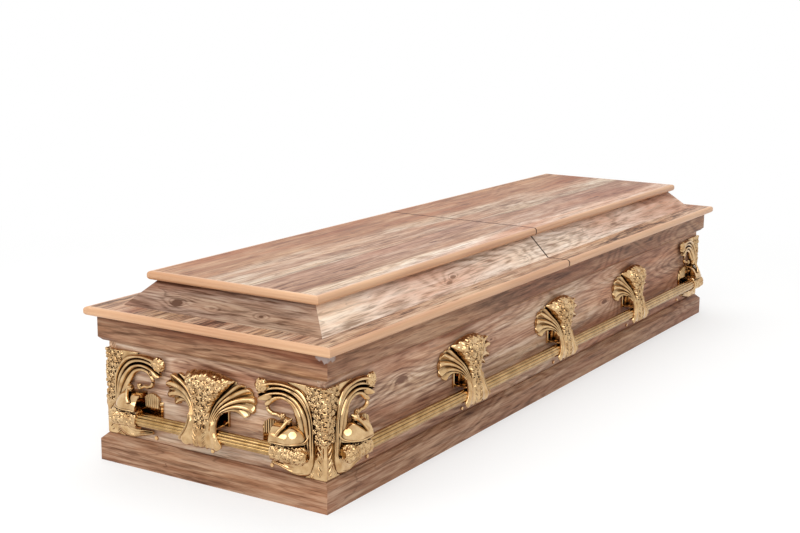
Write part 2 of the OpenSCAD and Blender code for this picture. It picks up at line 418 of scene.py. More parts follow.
def ruled(tree: bpy.types.NodeTree, here: Socket, axis: str, at: float, half: float, colour: Socket,
          strength: float) -> Socket:
    """Draws a thin dark line square to an axis, used for printed plank joints and for painted shadow beside
    the lid's middle gap.

    Args:
        tree: The node tree.
        here: The place.
        axis: X, Y or Z.
        at: Where the line stands on the axis, in millimetres.
        half: Half its width in millimetres.
        colour: The colour beside the line.
        strength: How much of the line's brown covers the colour.

    Returns:
        The colour with the line.
    """
    apart = add(tree, "ShaderNodeSeparateXYZ", {0: here})
    off = add(tree, "ShaderNodeMath", {0: apart.outputs[axis], 1: at * MM}, operation="SUBTRACT")
    gap = add(tree, "ShaderNodeMath", {0: off.outputs[0]}, operation="ABSOLUTE")
    line = add(tree, "ShaderNodeMapRange", {"Value": gap.outputs[0], 1: 0.7 * half * MM, 2: 1.2 * half * MM,
                                            3: strength, 4: 0.0})
    return add(tree, "ShaderNodeMix", {0: line.outputs[0], 6: colour, 7: linear(JOINT_BROWN)},
               data_type="RGBA").outputs[2]


@dataclass(frozen=True)
class Knot:
    """One knot: its place in metres, its radius in millimetres, and how far it is drawn out."""

    place: tuple[float, float, float]
    radius: float
    stretch: float = 2.6


@dataclass(frozen=True)
class FoilWood:
    """Printed wood-grain foil on board: the print of an old, knotty fruitwood, satin-lacquered."""

    name: str
    grain: Grain
    dark: str
    middle: str
    pale: str
    shift: tuple[float, float, float] = (0.0, 0.0, 0.0)
    figure: float = 0.16
    streak: float = 0.9
    knots: tuple[Knot, ...] = ()
    planks: tuple[tuple[float, str], ...] = ()
    joints: tuple[float, ...] = ()
    plank_reach: float = 0.25
    rings: float = 150.0
    ring_pull: float = 0.15
    chip: tuple[float, float, float] | None = None
    # Widens the painted shadow line beside the lid's middle gap at X = 0; 0 draws none.
    gap_shadow: float = 0.0

    def material(self) -> bpy.types.Material:
        """Builds the node material."""
        material, tree, shader = new_material(self.name)
        here = add(tree, "ShaderNodeTexCoord").outputs["Object"]
        turn = tuple(math.radians(angle) for angle in self.grain.value)
        placed = add(tree, "ShaderNodeMapping", {"Vector": here, "Location": self.shift, "Rotation": turn})
        along = placed.outputs[0]
        knotty = self.knot_field(tree, here, along)
        tone = self.tone(tree, along, knotty)
        ramp = add(tree, "ShaderNodeValToRGB", {"Fac": tone})
        fill_ramp(ramp, [(0.0, linear(self.dark)), (0.5, linear(self.middle)), (1.0, linear(self.pale))])
        colour = self.drift(tree, along, ramp.outputs["Color"])
        if self.planks:
            colour = self.plank_tint(tree, here, colour)
        colour = self.cracks(tree, along, colour)
        if self.chip:
            colour = self.chipped(tree, here, colour)
        # Painted shadow: a dark line on the board beside the gap between the lid's leaves.
        if self.gap_shadow:
            colour = ruled(tree, here, "X", 0.0, 1.5 + self.gap_shadow, colour, 0.9)
        tree.links.new(colour, shader.inputs["Base Color"])
        pores = add(tree, "ShaderNodeVectorMath", {0: along, 1: (30.0, 900.0, 900.0)}, operation="MULTIPLY")
        pore = add(tree, "ShaderNodeTexNoise", {"Vector": pores.outputs[0], "Scale": 1.0, "Detail": 2.0})
        relief = add(tree, "ShaderNodeBump",
                     {"Height": pore.outputs[0], "Strength": 0.08, "Distance": 0.0004})
        sheen = add(tree, "ShaderNodeMapRange", {"Value": pore.outputs[0], 3: 0.42, 4: 0.56})
        tree.links.new(relief.outputs[0], shader.inputs["Normal"])
        tree.links.new(sheen.outputs[0], shader.inputs["Roughness"])
        shader.inputs["Specular IOR Level"].default_value = 0.2
        return material

    def drift(self, tree: bpy.types.NodeTree, along: Socket, colour: Socket) -> Socket:
        """Drifts the print's hue between rose brown, cream and grey along the grain.

        Returns:
            The drifted colour.
        """
        for scale, stops in (((1.1, 9.0, 9.0), ((0.36, "#E2C3B4"), (0.5, "#FFFFFF"), (0.64, "#FFFBF0"))),
                             ((2.6, 30.0, 30.0), ((0.34, "#E2D0C4"), (0.46, "#FFFFFF"), (0.66, "#FDEEE2")))):
            drawn = add(tree, "ShaderNodeVectorMath", {0: along, 1: scale}, operation="MULTIPLY")
            moved = add(tree, "ShaderNodeVectorMath", {0: drawn.outputs[0], 1: (7.3, 2.9, 5.1)})
            noise = add(tree, "ShaderNodeTexNoise",
                        {"Vector": moved.outputs[0], "Scale": 1.0, "Detail": 3.0, "Distortion": 0.3})
            tint = add(tree, "ShaderNodeValToRGB", {"Fac": noise.outputs[0]})
            fill_ramp(tint, [(place, linear(shade)) for place, shade in stops])
            colour = add(tree, "ShaderNodeMix", {0: 1.0, 6: colour, 7: tint.outputs[0]},
                         data_type="RGBA", blend_type="MULTIPLY").outputs[2]
        return colour

    def knot_field(self, tree: bpy.types.NodeTree, here: Socket, along: Socket) -> Socket:
        """Hills of height 1 at the knots, drawn out along the grain, and smaller pin knots between them.

        Returns:
            The sum of the hills.
        """
        squeeze = {Grain.ALONG_X: 0, Grain.ALONG_Y: 1, Grain.ALONG_Z: 2}[self.grain]
        spread = add(tree, "ShaderNodeVectorMath", {0: along, 1: (3.4, 12.0, 12.0)}, operation="MULTIPLY")
        cell = add(tree, "ShaderNodeTexVoronoi", {"Vector": spread.outputs[0], "Scale": 1.0})
        reach = add(tree, "ShaderNodeMath", {0: cell.outputs["Distance"], 1: 15.0}, operation="MULTIPLY")
        squared = add(tree, "ShaderNodeMath", {0: reach.outputs[0], 1: 2.0}, operation="POWER")
        beneath = add(tree, "ShaderNodeMath", {0: squared.outputs[0], 1: 1.0})
        pin = add(tree, "ShaderNodeMath", {0: 0.9, 1: beneath.outputs[0]}, operation="DIVIDE")
        chance = add(tree, "ShaderNodeSeparateColor", {0: cell.outputs["Color"]})
        some = add(tree, "ShaderNodeMapRange", {"Value": chance.outputs[0], 1: 0.45, 2: 0.75})
        total = add(tree, "ShaderNodeMath", {0: pin.outputs[0], 1: some.outputs[0]},
                    operation="MULTIPLY").outputs[0]
        for knot in self.knots:
            away = add(tree, "ShaderNodeVectorMath", {0: here, 1: knot.place}, operation="SUBTRACT")
            scale = [1 / (knot.radius * MM)] * 3
            scale[squeeze] /= knot.stretch
            sized = add(tree, "ShaderNodeVectorMath", {0: away.outputs[0], 1: tuple(scale)},
                        operation="MULTIPLY")
            far = add(tree, "ShaderNodeVectorMath", {0: sized.outputs[0]}, operation="LENGTH")
            square = add(tree, "ShaderNodeMath", {0: far.outputs["Value"], 1: 2.0}, operation="POWER")
            under = add(tree, "ShaderNodeMath", {0: square.outputs[0], 1: 1.0})
            hill = add(tree, "ShaderNodeMath", {0: 1.0, 1: under.outputs[0]}, operation="DIVIDE")
            total = add(tree, "ShaderNodeMath", {0: total, 1: hill.outputs[0]}).outputs[0]
        return total

    def tone(self, tree: bpy.types.NodeTree, along: Socket, knotty: Socket) -> Socket:
        """Lightness of the print, 0 dark to 1 pale: figure, streaks, fibres and knots.

        Returns:
            The tone.
        """
        def grain_noise(scale: tuple[float, float, float], detail: float, distortion: float = 0.0) -> Socket:
            """Noise stretched along the grain, in features a metre along and across it."""
            drawn = add(tree, "ShaderNodeVectorMath", {0: along, 1: scale}, operation="MULTIPLY")
            return add(tree, "ShaderNodeTexNoise",
                       {"Vector": drawn.outputs[0], "Scale": 1.0, "Detail": detail, "Roughness": 0.6,
                        "Distortion": distortion}).outputs[0]

        def sharpened(value: Socket, half: float) -> Socket:
            """Draws a noise's soft edges together, as the printed figure has them."""
            return add(tree, "ShaderNodeMapRange", {"Value": value, 1: 0.5 - half, 2: 0.5 + half},
                       interpolation_type="SMOOTHSTEP").outputs[0]

        def mixed(total: Socket, value: Socket, weight: float) -> Socket:
            """Adds a value, centred on a half, with a weight."""
            centred = add(tree, "ShaderNodeMath", {0: value, 1: weight, 2: -0.5 * weight},
                          operation="MULTIPLY_ADD")
            return add(tree, "ShaderNodeMath", {0: total, 1: centred.outputs[0]}).outputs[0]

        swell = grain_noise((1.0, 6.5, 6.5), 1.6, 0.5)
        ringed = add(tree, "ShaderNodeMath", {0: knotty, 1: self.ring_pull, 2: swell},
                     operation="MULTIPLY_ADD")
        turns = add(tree, "ShaderNodeMath", {0: ringed.outputs[0], 1: self.rings}, operation="MULTIPLY")
        wave = add(tree, "ShaderNodeMath", {0: turns.outputs[0]}, operation="SINE")
        lifted = add(tree, "ShaderNodeMapRange", {"Value": wave.outputs[0], 1: -1.0, 2: 0.4})
        tone = add(tree, "ShaderNodeMath", {0: 0.52, 1: 0.0}).outputs[0]
        tone = mixed(tone, lifted.outputs[0], self.figure)
        tone = mixed(tone, grain_noise((1.4, 11.0, 11.0), 4.0, 0.4), 1.25 * self.streak)
        tone = mixed(tone, sharpened(grain_noise((3.2, 42.0, 42.0), 5.0, 0.9), 0.07), 0.2 * self.streak)
        tone = mixed(tone, sharpened(grain_noise((7.0, 120.0, 120.0), 4.0, 0.6), 0.09), 0.24 * self.streak)
        tone = mixed(tone, grain_noise((14.0, 230.0, 230.0), 3.0, 0.3), 1.3 * self.streak)
        tone = mixed(tone, grain_noise((26.0, 420.0, 420.0), 2.0), 1.0 * self.streak)
        core = add(tree, "ShaderNodeMapRange", {"Value": knotty, 1: 0.62, 2: 0.9, 3: 0.0, 4: 0.75})
        return add(tree, "ShaderNodeMath", {0: tone, 1: core.outputs[0]}, operation="SUBTRACT",
                   use_clamp=True).outputs[0]

    def plank_tint(self, tree: bpy.types.NodeTree, here: Socket, colour: Socket) -> Socket:
        """Tints the print in broad planks side by side across Y, with thin dark joints.

        Returns:
            The tinted colour.
        """
        waver = add(tree, "ShaderNodeTexNoise", {"Vector": here, "Scale": 3.0, "Detail": 1.0})
        sway = add(tree, "ShaderNodeMath", {0: waver.outputs[0], 1: 0.05, 2: -0.025},
                   operation="MULTIPLY_ADD")
        apart = add(tree, "ShaderNodeSeparateXYZ", {0: here})
        moved = add(tree, "ShaderNodeMath", {0: apart.outputs["Y"], 1: sway.outputs[0]})
        reach = self.plank_reach
        spread = add(tree, "ShaderNodeMapRange", {"Value": moved.outputs[0], 1: -reach, 2: reach})
        ramp = add(tree, "ShaderNodeValToRGB", {"Fac": spread.outputs[0]})
        fill_ramp(ramp, [((place * MM / reach + 1) / 2, linear(tint)) for place, tint in self.planks])
        tinted = add(tree, "ShaderNodeMix", {0: 1.0, 6: colour, 7: ramp.outputs[0]},
                     data_type="RGBA", blend_type="MULTIPLY").outputs[2]
        for joint in self.joints:
            tinted = ruled(tree, here, "Y", joint, 1.5, tinted, 0.6)
        return tinted

    def cracks(self, tree: bpy.types.NodeTree, along: Socket, colour: Socket) -> Socket:
        """Draws the print's fine dark checks: thin lines along the grain that come and go.

        Returns:
            The colour with the checks.
        """
        drawn = add(tree, "ShaderNodeVectorMath", {0: along, 1: (4.0, 26.0, 26.0)}, operation="MULTIPLY")
        noise = add(tree, "ShaderNodeTexNoise",
                    {"Vector": drawn.outputs[0], "Scale": 1.0, "Detail": 2.5, "Distortion": 0.4})
        centred = add(tree, "ShaderNodeMath", {0: noise.outputs[0], 1: 0.5}, operation="SUBTRACT")
        gap = add(tree, "ShaderNodeMath", {0: centred.outputs[0]}, operation="ABSOLUTE")
        line = add(tree, "ShaderNodeMapRange", {"Value": gap.outputs[0], 1: 0.002, 2: 0.012, 3: 1.0, 4: 0.0})
        patchy = add(tree, "ShaderNodeVectorMath", {0: along, 1: (2.2, 9.0, 9.0)}, operation="MULTIPLY")
        patch = add(tree, "ShaderNodeTexNoise", {"Vector": patchy.outputs[0], "Scale": 1.0, "Detail": 1.0})
        where = add(tree, "ShaderNodeMapRange", {"Value": patch.outputs[0], 1: 0.5, 2: 0.66, 3: 0.0, 4: 0.55})
        fac = add(tree, "ShaderNodeMath", {0: line.outputs[0], 1: where.outputs[0]}, operation="MULTIPLY")
        colour = add(tree, "ShaderNodeMix", {0: fac.outputs[0], 6: colour, 7: linear(self.dark)},
                     data_type="RGBA").outputs[2]
        for scale, weight in (((5.0, 75.0, 75.0), 0.45), ((14.0, 210.0, 210.0), 0.4)):
            thin = add(tree, "ShaderNodeVectorMath", {0: along, 1: scale}, operation="MULTIPLY")
            fleck = add(tree, "ShaderNodeTexNoise",
                        {"Vector": thin.outputs[0], "Scale": 1.0, "Detail": 3.0, "Distortion": 0.6})
            mark = add(tree, "ShaderNodeMapRange",
                       {"Value": fleck.outputs[0], 1: 0.6, 2: 0.655, 3: 0.0, 4: weight})
            colour = add(tree, "ShaderNodeMix", {0: mark.outputs[0], 6: colour, 7: linear(self.dark)},
                         data_type="RGBA").outputs[2]
        return colour

    def chipped(self, tree: bpy.types.NodeTree, here: Socket, colour: Socket) -> Socket:
        """Bares the pale board where the foil is chipped.

        Returns:
            The colour with the chip.
        """
        away = add(tree, "ShaderNodeVectorMath", {0: here, 1: self.chip}, operation="SUBTRACT")
        sized = add(tree, "ShaderNodeVectorMath", {0: away.outputs[0], 1: (36.0, 36.0, 90.0)},
                    operation="MULTIPLY")
        far = add(tree, "ShaderNodeVectorMath", {0: sized.outputs[0]}, operation="LENGTH")
        ragged = add(tree, "ShaderNodeTexNoise", {"Vector": here, "Scale": 90.0, "Detail": 3.0})
        edge = add(tree, "ShaderNodeMath", {0: ragged.outputs[0], 1: 1.6, 2: far.outputs["Value"]},
                   operation="MULTIPLY_ADD")
        bare = add(tree, "ShaderNodeMapRange", {"Value": edge.outputs[0], 1: 1.7, 2: 1.9, 3: 0.8, 4: 0.0})
        return add(tree, "ShaderNodeMix", {0: bare.outputs[0], 6: colour, 7: linear(BARE_BOARD)},
                   data_type="RGBA").outputs[2]


@dataclass(frozen=True)
class Lacquered:
    """Solid softwood lipping, satin-lacquered: plain, fine-grained and warm."""

    name: str
    dark: str
    pale: str
    grain: Grain

    def material(self) -> bpy.types.Material:
        """Builds the node material."""
        material, tree, shader = new_material(self.name)
        here = add(tree, "ShaderNodeTexCoord").outputs["Object"]
        turn = tuple(math.radians(angle) for angle in self.grain.value)
        placed = add(tree, "ShaderNodeMapping", {"Vector": here, "Rotation": turn})
        drawn = add(tree, "ShaderNodeVectorMath", {0: placed.outputs[0], 1: (3.0, 160.0, 160.0)},
                    operation="MULTIPLY")
        streaks = add(tree, "ShaderNodeTexNoise", {"Vector": drawn.outputs[0], "Scale": 1.0, "Detail": 3.0})
        broad = add(tree, "ShaderNodeTexNoise", {"Vector": placed.outputs[0], "Scale": 2.2, "Detail": 1.0})
        both = add(tree, "ShaderNodeMath", {0: streaks.outputs[0], 1: broad.outputs[0]})
        tone = add(tree, "ShaderNodeMapRange", {"Value": both.outputs[0], 1: 0.75, 2: 1.25})
        ramp = add(tree, "ShaderNodeValToRGB", {"Fac": tone.outputs[0]})
        fill_ramp(ramp, [(0.0, linear(self.dark)), (1.0, linear(self.pale))])
        # Painted shadow: a dark line on the lipping beside the gap between the lid's leaves.
        colour = ruled(tree, here, "X", 0.0, 3.0, ramp.outputs[0], 0.85)
        gloss = add(tree, "ShaderNodeMapRange", {"Value": streaks.outputs[0], 3: 0.3, 4: 0.42})
        relief = add(tree, "ShaderNodeBump",
                     {"Height": streaks.outputs[0], "Strength": 0.06, "Distance": 0.0004})
        tree.links.new(colour, shader.inputs["Base Color"])
        tree.links.new(gloss.outputs[0], shader.inputs["Roughness"])
        tree.links.new(relief.outputs[0], shader.inputs["Normal"])
        shader.inputs["IOR"].default_value = 1.46
        return material


@dataclass(frozen=True)
class Gilt:
    """Polished metal plating: bright on the heights, with painted shade in the recesses, a dark brown that
    stands in for their shade and dark reflections.
    """

    name: str
    bright: str
    deep: str
    roughness: float
    ripple: float = 0.15
    # The colour of the painted shade in recesses and creases.
    recess_shade: str = "#2E1C0E"
    shade_reach: float = 9.0
    cloud_scale: float = 55.0
    fine_scale: float = 420.0

    def material(self) -> bpy.types.Material:
        """Builds the node material."""
        material, tree, shader = new_material(self.name)
        here = add(tree, "ShaderNodeTexCoord").outputs["Object"]
        cloud = add(tree, "ShaderNodeTexNoise", {"Vector": here, "Scale": self.cloud_scale, "Detail": 3.0})
        fine = add(tree, "ShaderNodeTexNoise", {"Vector": here, "Scale": self.fine_scale, "Detail": 2.0})
        ramp = add(tree, "ShaderNodeValToRGB", {"Fac": cloud.outputs[0]})
        fill_ramp(ramp, [(0.3, linear(self.deep)), (0.65, linear(self.bright))])
        # Painted shade: where ambient occlusion finds recesses and creases, the colour turns to the dark
        # brown.
        open_sky = add(tree, "ShaderNodeAmbientOcclusion", {"Distance": self.shade_reach * MM},
                       only_local=True, samples=8)
        painted_shade_amount = add(tree, "ShaderNodeMapRange", {"Value": open_sky.outputs["AO"], 1: 0.36, 2: 0.94})
        colour = add(tree, "ShaderNodeMix",
                     {0: painted_shade_amount.outputs[0], 6: linear(self.recess_shade), 7: ramp.outputs[0]},
                     data_type="RGBA")
        rough = add(tree, "ShaderNodeMapRange",
                    {"Value": fine.outputs[0], 1: 0.3, 2: 0.7, 3: 0.6 * self.roughness,
                     4: 1.5 * self.roughness})
        relief = add(tree, "ShaderNodeBump",
                     {"Height": cloud.outputs[0], "Strength": self.ripple, "Distance": 0.0006})
        tree.links.new(colour.outputs[2], shader.inputs["Base Color"])
        tree.links.new(rough.outputs[0], shader.inputs["Roughness"])
        tree.links.new(relief.outputs[0], shader.inputs["Normal"])
        shader.inputs["Metallic"].default_value = 1.0
        return material


# ------------------------------------------------------------------ the box and the lid


@dataclass
class Box:
    """The body's boards: panels, plinth and rim."""

    # Panel foil a little darker and pinker than the lid top's: partly its own tone, partly painted shade for
    # the upright faces' weaker light.
    colours: tuple[str, str, str] = ("#7C5947", "#C2A086", "#E6D1BB")
    rim_colours: tuple[str, str, str] = ("#5F3F2A", "#977056", "#B79376")
    plinth_colours: tuple[str, str, str] = ("#603E2B", "#9E765B", "#BE9D83")

    def dress(self) -> None:
        """Gives each board its foil, with the grain along its length."""
        panels = {
            "side_panel_front": (Grain.ALONG_X, (0.31, 0.0, 0.1)),
            "side_panel_back": (Grain.ALONG_X, (1.7, 0.4, 0.3)),
            "end_panel_left": (Grain.ALONG_Y, (0.8, 0.0, 0.0)),
            "end_panel_right": (Grain.ALONG_Y, (2.1, 0.0, 0.2)),
            "floor_board": (Grain.ALONG_X, (3.3, 0.0, 0.0)),
        }
        knots = {
            "side_panel_front": (Knot((-0.70, -0.265, 0.19), 14), Knot((0.30, -0.265, 0.16), 10)),
        }
        for node, (grain, shift) in panels.items():
            finish = FoilWood(f"wood_foil_{node}", grain, *self.colours, shift, figure=0.3, streak=0.85,
                              knots=knots.get(node, ()))
            dress(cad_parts[node], finish.material())
        chip_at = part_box("rim_front")[0]
        chip = (chip_at.x + 0.004, chip_at.y + 0.004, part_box("rim_front")[1].z - 0.004)
        for board in ("plinth", "rim"):
            for number, side in enumerate(("front", "back", "left", "right")):
                grain = Grain.ALONG_X if side in ("front", "back") else Grain.ALONG_Y
                shift = (0.9 * number + 0.4 * len(board), 0.13 * number, 0.21)
                colours = self.rim_colours if board == "rim" else self.plinth_colours
                finish = FoilWood(f"wood_foil_{board}_{side}", grain, *colours, shift,
                                  figure=0.28, streak=0.95,
                                  chip=chip if board == "rim" and side in ("front", "left") else None)
                dress(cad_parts[f"{board}_{side}"], finish.material())
        log.info("box: boards dressed")


@dataclass
class Lid:
    """The lid's flange, slopes, top and lippings, in two leaves."""

    colours: tuple[str, str, str] = ("#A08570", "#E9D4C2", "#FFF3E6")
    edge_colours: tuple[str, str] = ("#C08C66", "#DDB088")

    def dress(self) -> None:
        """Dresses every board of the lid."""
        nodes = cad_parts
        top = FoilWood(
            "wood_foil_top", Grain.ALONG_X, "#846450", "#D4BCA9", "#F3ECE0", (0.2, 0.0, 0.0),
            figure=0.16, streak=1.0, gap_shadow=1.8,
            planks=((-200, "#FFFFFF"), (-163, "#FFFFFF"), (-150, "#CBB6AD"), (-50, "#D1B8AD"),
                    (-40, "#E8E5DF"), (58, "#E8E0D6"), (80, "#CCAE96"), (150, "#C8A58D"), (200, "#D1B399")),
            joints=(-42.0,),
            knots=(Knot((-0.66, -0.115, 0.39), 7, 4.5), Knot((-0.30, -0.10, 0.39), 6, 5.0),
                   Knot((0.22, 0.11, 0.39), 6, 5.0), Knot((0.55, -0.12, 0.39), 6, 4.5)))
        flange = FoilWood("wood_foil_flange", Grain.ALONG_X, "#4A3022", "#B08C72", "#D0B59C", (0.7, 0.2, 0.0),
                          figure=0.1, streak=1.7, gap_shadow=1.8)
        slopes = {
            "front": FoilWood("wood_foil_slope_front", Grain.ALONG_X, *self.colours, (1.3, 0.1, 0.0),
                              figure=0.28, streak=0.9, gap_shadow=1.8,
                              knots=(Knot((-0.42, -0.22, 0.345), 5), Knot((-0.1, -0.235, 0.335), 4))),
            "back": FoilWood("wood_foil_slope_back", Grain.ALONG_X, *self.colours, (2.6, 0.3, 0.0),
                             figure=0.28, streak=0.9, gap_shadow=1.8),
            "end_left": FoilWood("wood_foil_slope_left", Grain.ALONG_Y, "#5E4131", "#A28674", "#BEA998",
                                 (0.4, 0.2, 0.0), figure=0.28, streak=0.95,
                                 knots=(Knot((-0.925, 0.118, 0.338), 13, 1.8),
                                        Knot((-0.922, 0.03, 0.335), 6, 2.2),
                                        Knot((-0.925, -0.09, 0.338), 5, 2.4))),
            "end_right": FoilWood("wood_foil_slope_right", Grain.ALONG_Y, "#5E4131", "#A28674", "#BEA998",
                                  (1.9, 0.2, 0.0), figure=0.28, streak=0.95),
        }
        top_material, flange_material = top.material(), flange.material()
        slope_materials = {key: finish.material() for key, finish in slopes.items()}
        edging = {grain: Lacquered(f"softwood_lipping_{grain.name.lower()}", *self.edge_colours,
                                   grain).material() for grain in (Grain.ALONG_X, Grain.ALONG_Y)}
        for leaf in ("left", "right"):
            dress(nodes[f"top_panel_{leaf}"], top_material)
            dress(nodes[f"flange_panel_{leaf}"], flange_material)
            for side in ("front", "back", "end"):
                key = f"end_{leaf}" if side == "end" else side
                dress(nodes[f"slope_{leaf}_{side}"], slope_materials[key])
                grain = Grain.ALONG_Y if side == "end" else Grain.ALONG_X
                for board in ("flange", "top"):
                    dress(nodes[f"{board}_lipping_{leaf}_{side}"], edging[grain])
        log.info("lid: boards dressed")


# ------------------------------------------------------------------ castings


@dataclass
class Sides:
    """The four upright faces of the body, as places for castings drawn on the front face."""

    half_length: float = field(default_factory=lambda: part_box("side_panel_front")[1].x)
    half_width: float = field(default_factory=lambda: -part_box("side_panel_front")[0].y)

    def at(self, side: str, along: float) -> Matrix:
        """The place of a casting on a face.

        Args:
            side: front, right, back or left.
            along: Distance from the face's middle, to the right as seen from outside.

        Returns:
            The place.
        """
        turn = {"front": 0, "right": 90, "back": 180, "left": 270}[side]
        off = self.half_width if side in ("front", "back") else self.half_length
        return Matrix.Rotation(math.radians(turn), 4, "Z") @ Matrix.Translation((along, -off, 0))


@dataclass
class FanBracket:
    """A fan-shaped bracket: a flowered sheaf between fluted leaves, on a strap over the bar."""

    neck_half: float = 36.0
    neck_z: float = 143.0
    top_z: float = 229.0
    sheaf_half: float = 61.0
    sheaf_drop: float = 12.0
    lobe_centre: tuple[float, float] = (78.0, 181.0)
    lobe_radius: float = 33.0
    flutes: int = 5
    strap_share: float = 0.46
    flower: float = 7.8
    seed: int = 11
    faces: int = 44000

    def fan_place(self, s: Array, t: Array) -> tuple[Array, Array, Array]:
        """Place on the fan's base surface.

        Args:
            s: 0 at the neck to 1 at the rim.
            t: -1 to 1 across.

        Returns:
            Distance from the middle, distance off the face, and height.
        """
        side = np.sign(t)
        a = np.abs(t)
        inner = np.clip(a / 0.5, 0, 1)
        outer = np.clip((a - 0.5) / 0.5, 0, 1)
        angle = np.radians(118 - 216 * outer)
        scallop = np.abs(np.sin(np.pi * self.flutes * outer)) ** 0.6
        radius = self.lobe_radius - 5.5 * (1 - scallop)
        rim_x = np.where(a <= 0.5, self.sheaf_half * inner, self.lobe_centre[0] + radius * np.cos(angle))
        rim_z = np.where(a <= 0.5, self.top_z - self.sheaf_drop * inner ** 2,
                         self.lobe_centre[1] + radius * np.sin(angle))
        heading = np.radians(90 - 38 * inner - 122 * outer)
        reach = 30 - 4 * outer
        neck_x = self.neck_half * a
        lift = 40 - 20 * outer
        p1x, p1z = neck_x + 2 * inner, self.neck_z + lift
        p2x, p2z = rim_x - reach * np.cos(heading), rim_z - reach * np.sin(heading)
        r = 1 - s
        x = r ** 3 * neck_x + 3 * r * r * s * p1x + 3 * r * s * s * p2x + s ** 3 * rim_x
        z = r ** 3 * self.neck_z + 3 * r * r * s * p1z + 3 * r * s * s * p2z + s ** 3 * rim_z
        leaf = 3.0 + (31 - 4 * a * a) * (1 - s) ** 1.7
        heap = 34 + 1.5 * np.sin(np.pi * s)
        brow = np.sqrt(np.clip(1 - (np.clip(s - 0.72, 0, 1) / 0.28) ** 2, 0, 1))
        share = np.clip(1 - inner ** 5, 0, 1) ** 0.6 * brow
        return side * x, leaf + (heap - leaf) * share, z

    def strap_place(self, s: Array, t: Array) -> tuple[Array, Array, Array]:
        """Place on the strap's base surface, from its curled foot at 0 to the neck at 1."""
        a = np.abs(t)
        start = 0.40 * a ** 2.2
        p = start + s * (1 - start)
        line = run_through([(20.0, 84.5, 40.0), (30.0, 83.0, 46.0), (39.0, 87.0, 53.0), (42.8, 97.0, 53.5),
                            (43.2, 108.0, 45.0), (40.8, 120.0, 38.5), (37.6, 132.0, 36.0),
                            (34.0, 143.0, 36.0)], p)
        sag = 3.0 * a ** 2
        return t * line[..., 2], line[..., 0] - sag * smoothstep(0.15, 0.6, p) - 1.0 * a ** 2, line[..., 1]

    def base(self, u: Array, v: Array) -> tuple[Array, Array, Array]:
        """Place on the whole bracket's base surface, foot to rim."""
        split = self.strap_share
        low = self.strap_place(np.clip(v / split, 0, 1), u)
        high = self.fan_place(np.clip((v - split) / (1 - split), 0, 1), u)
        return tuple(np.where(v <= split, a, b) for a, b in zip(low, high))

    def flower_centres(self) -> Array:
        """Where the flowers stand, in the fan's own plane."""
        def draw(generator: np.random.Generator) -> Array:
            """Tries one place for a flower."""
            s, t = generator.uniform(-0.28, 1.0), generator.uniform(-0.5, 0.5)
            if s < 0:
                return np.array([0.8 * self.neck_half * t, self.neck_z + 90 * s])
            x, _, z = self.fan_place(np.array([s]), np.array([t]))
            return np.array([x[0], z[0]])
        return scattered(2600, 1.3 * self.flower, draw, self.seed)

    def relief(self, u: Array, v: Array, x: Array, z: Array) -> Array:
        """Relief of the front: flowers, flutes, leaf veins and beaded edges."""
        a = np.abs(u)
        split = self.strap_share
        s = np.clip((v - split) / (1 - split), 0, 1)
        strap = v < split
        calm = (1 - 0.7 * smoothstep(0.34, 0.49, a)) * (1 - 0.55 * smoothstep(0.8, 0.97, s))
        flowers = blossoms(x, z, self.flower_centres(), self.flower, 4.8) * calm
        mound = 1.4 + 0.8 * smoothstep(160, 200, z)
        mound = mound * (1 - smoothstep(0.42, 0.53, a)) * smoothstep(112, 135, z)
        in_sheaf = (1 - smoothstep(0.46, 0.52, a)) * smoothstep(114, 124, z)
        ridge = (a - 0.5) * 2 * self.flutes
        across = ridge - np.floor(ridge) - 0.5
        power = 0.9 + 1.1 * smoothstep(0.35, 1.0, s)
        crest = np.clip(np.cos(np.pi * across), 0, 1) ** power
        tall = 1.2 + 2.6 * smoothstep(0.0, 0.35, s) + 3.4 * smoothstep(0.45, 0.95, s)
        fluted = smoothstep(0.5, 0.53, a) * np.where(strap, smoothstep(0.86, 1.0, v / split), 1.0)
        flutes = fluted * tall * crest
        veins = strokes(x, z, 11.5, 82.0, 120.0, 9.5, 2.0) * strap
        foot = strap * (1 - smoothstep(0.8, 1.0, v / split))
        flank = 2.6 * bump(a, 0.74, 0.2) * foot
        bead = 2.2 * bump(a, 0.965, 0.045) * strap
        stem = 1.6 * bump(x, 0.0, 5.0) * strap * (1 - smoothstep(112, 120, z))
        return mound + flowers * in_sheaf + flutes + veins + flank + bead + stem

    def arm(self) -> list[bpy.types.Object]:
        """The pad on the panel, and the shelf and web that carry the neck."""
        pieces = []
        for name, centre, size in (("pad", (0, 3, 142), (90, 6, 38)), ("shelf", (0, 17, 126), (72, 32, 4)),
                                   ("web", (0, 14, 139), (30, 26, 28))):
            let_go()
            x, w, z = centre
            bpy.ops.mesh.primitive_cube_add(size=1, location=(x * MM, -w * MM, z * MM))
            block = bpy.context.object
            block.name = name
            block.scale = Vector(size) * MM
            bpy.ops.object.transform_apply(location=True, rotation=False, scale=True)
            bpy.ops.object.mode_set(mode="EDIT")
            bpy.ops.mesh.select_all(action="SELECT")
            bpy.ops.mesh.bevel(offset=1.8 * MM, segments=3, affect="EDGES")
            bpy.ops.object.mode_set(mode="OBJECT")
            pieces.append(block)
        return pieces

    def model(self) -> bpy.types.Object:
        """Models one bracket at the middle of a front face that passes through the origin."""
        shell = Sheet("fan_shell", 300, 230, self.base, self.relief, 2.4, 2.0).build()
        apply_modifier(shell, "DECIMATE", ratio=self.faces / (4 * 300 * 230))
        bracket = joined("fan_bracket", [shell, *self.arm()])
        smooth_by_angle(bracket, 50)
        return bracket


